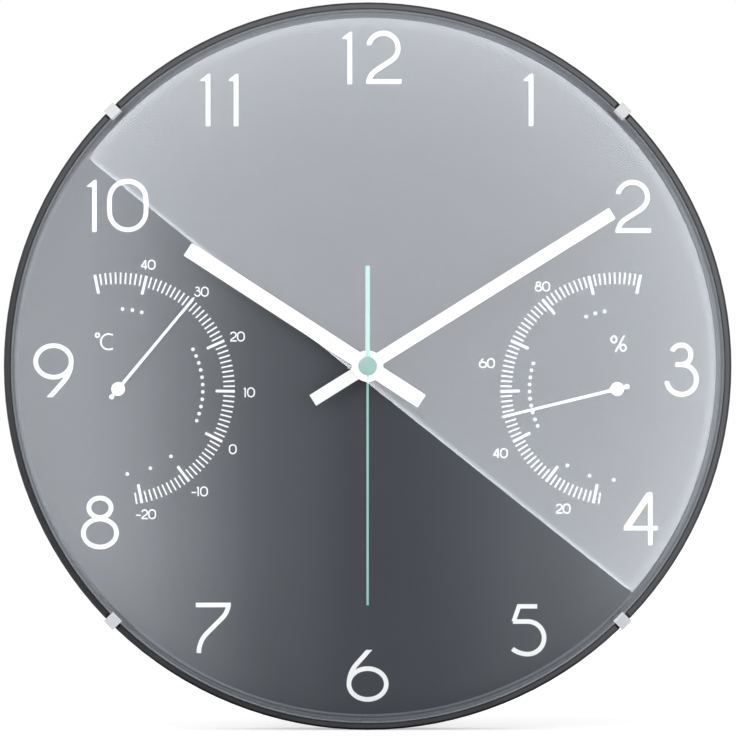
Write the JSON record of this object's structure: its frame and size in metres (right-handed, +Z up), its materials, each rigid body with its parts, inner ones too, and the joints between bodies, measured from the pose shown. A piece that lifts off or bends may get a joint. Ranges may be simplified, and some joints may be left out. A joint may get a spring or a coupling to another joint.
{
  "type": "thermometer hygrometer clock",
  "caption": "Round wall clock with a domed glass, three hands on a numbered grey dial, and small dial thermometer and hygrometer set into the face.",
  "frame": {"origin": "middle of the top of the keyhole slot, in the plane of the back that lies on the wall", "axes": "+Z up, +Y into the wall, dial facing -Y, +X to the viewer's right"},
  "size_m": [0.3, 0.0425, 0.3],
  "materials": {
    "dial": "satin slate grey paint",
    "housing": "fine moulded black",
    "glass": "polished clear",
    "gasket": "soft black",
    "clip": "bright",
    "screw": "plated",
    "white_hand": "white paint",
    "mint_hand": "mint green paint",
    "case": "moulded black",
    "cover": "moulded dark grey",
    "gear": "natural acetal",
    "brass": "turned",
    "steel": "plain",
    "copper": "enamelled copper wire",
    "board": "solder mask",
    "cell": "plain wrapped cell",
    "knob": "moulded grey",
    "aluminium": "pressed",
    "bimetal": "rolled strip",
    "humidity": "coated strip"
  },
  "bodies": {
    "case": {"back_housing": "housing", "dial_plate": "dial", "glass_gasket": "gasket", "dome_glass": "glass", "glass_clip_upper_right": "clip", "glass_clip_upper_left": "clip", "glass_clip_lower_left": "clip", "glass_clip_lower_right": "clip", "clip_screws": "screw", "movement_case": "case", "movement_cover": "cover", "train_bridge": "cover", "rubber_washer": "gasket", "nut_washer": "brass", "hex_nut": "brass", "stator": "steel", "motor_coil": "copper", "circuit_board": "board", "quartz_crystal": "steel", "contact_positive": "steel", "contact_negative": "steel", "thermometer_plate": "brass", "thermometer_cup": "aluminium", "thermometer_coil": "bimetal", "hygrometer_plate": "brass", "hygrometer_cup": "aluminium", "hygrometer_coil": "humidity"},
    "hour": {"hour_wheel": "gear", "hour_hand": "white_hand"},
    "minute": {"minute_arbor": "brass", "minute_hand": "white_hand"},
    "second": {"seconds_wheel": "gear", "second_hand": "mint_hand"},
    "centre": {"centre_wheel": "gear"},
    "third": {"third_wheel": "gear"},
    "intermediate": {"intermediate_wheel": "gear"},
    "rotor": {"rotor": "steel"},
    "minute_wheel": {"minute_wheel": "gear"},
    "knob": {"setting_knob": "knob"},
    "thermometer": {"thermometer_spindle": "brass", "thermometer_pointer": "white_hand"},
    "hygrometer": {"hygrometer_spindle": "brass", "hygrometer_pointer": "white_hand"},
    "battery": {"battery": "cell"}
  },
  "joints": [
    {"name": "minute_turn", "type": "hinge", "parent": "case", "child": "minute", "pos_m": [0, 0, -0.118], "axis": [0, 1, 0], "continuous": true},
    {"name": "hour_turn", "type": "hinge", "parent": "case", "child": "hour", "pos_m": [0, 0, -0.118], "axis": [0, 1, 0], "continuous": true},
    {"name": "minute_wheel_turn", "type": "hinge", "parent": "case", "child": "minute_wheel", "pos_m": [0.01008, 0, -0.11978], "axis": [0, 1, 0], "continuous": true},
    {"name": "knob_turn", "type": "hinge", "parent": "case", "child": "knob", "pos_m": [0.01971, 0, -0.11628], "axis": [0, 1, 0], "continuous": true},
    {"name": "second_turn", "type": "hinge", "parent": "case", "child": "second", "pos_m": [0, 0, -0.118], "axis": [0, 1, 0], "continuous": true},
    {"name": "third_turn", "type": "hinge", "parent": "case", "child": "third", "pos_m": [0.00578, 0, -0.10799], "axis": [0, 1, 0], "continuous": true},
    {"name": "centre_turn", "type": "hinge", "parent": "case", "child": "centre", "pos_m": [0, 0, -0.118], "axis": [0, 1, 0], "continuous": true},
    {"name": "intermediate_turn", "type": "hinge", "parent": "case", "child": "intermediate", "pos_m": [-0.00827, 0, -0.11654], "axis": [0, 1, 0], "continuous": true},
    {"name": "rotor_turn", "type": "hinge", "parent": "case", "child": "rotor", "pos_m": [-0.01418, 0, -0.1155], "axis": [0, 1, 0], "continuous": true},
    {"name": "thermometer_swing", "type": "hinge", "parent": "case", "child": "thermometer", "pos_m": [-0.1027, 0, -0.1274], "axis": [0, -1, 0], "range_deg": [-128.6, 51.4]},
    {"name": "hygrometer_swing", "type": "hinge", "parent": "case", "child": "hygrometer", "pos_m": [0.1027, 0, -0.1274], "axis": [0, -1, 0], "range_deg": [-115.4, 64.6]},
    {"name": "battery_slide", "type": "slide", "parent": "case", "child": "battery", "axis": [0, 1, 0], "range_m": [0, 0.03]}
  ],
  "couplings": [
    {"joint": "hour_turn", "follows": "minute_turn", "ratio": 0.083333},
    {"joint": "minute_wheel_turn", "follows": "minute_turn", "ratio": -0.33333},
    {"joint": "knob_turn", "follows": "minute_turn", "ratio": 1},
    {"joint": "third_turn", "follows": "second_turn", "ratio": -0.13333},
    {"joint": "centre_turn", "follows": "second_turn", "ratio": 0.016667},
    {"joint": "intermediate_turn", "follows": "second_turn", "ratio": -6},
    {"joint": "rotor_turn", "follows": "second_turn", "ratio": 30}
  ]
}
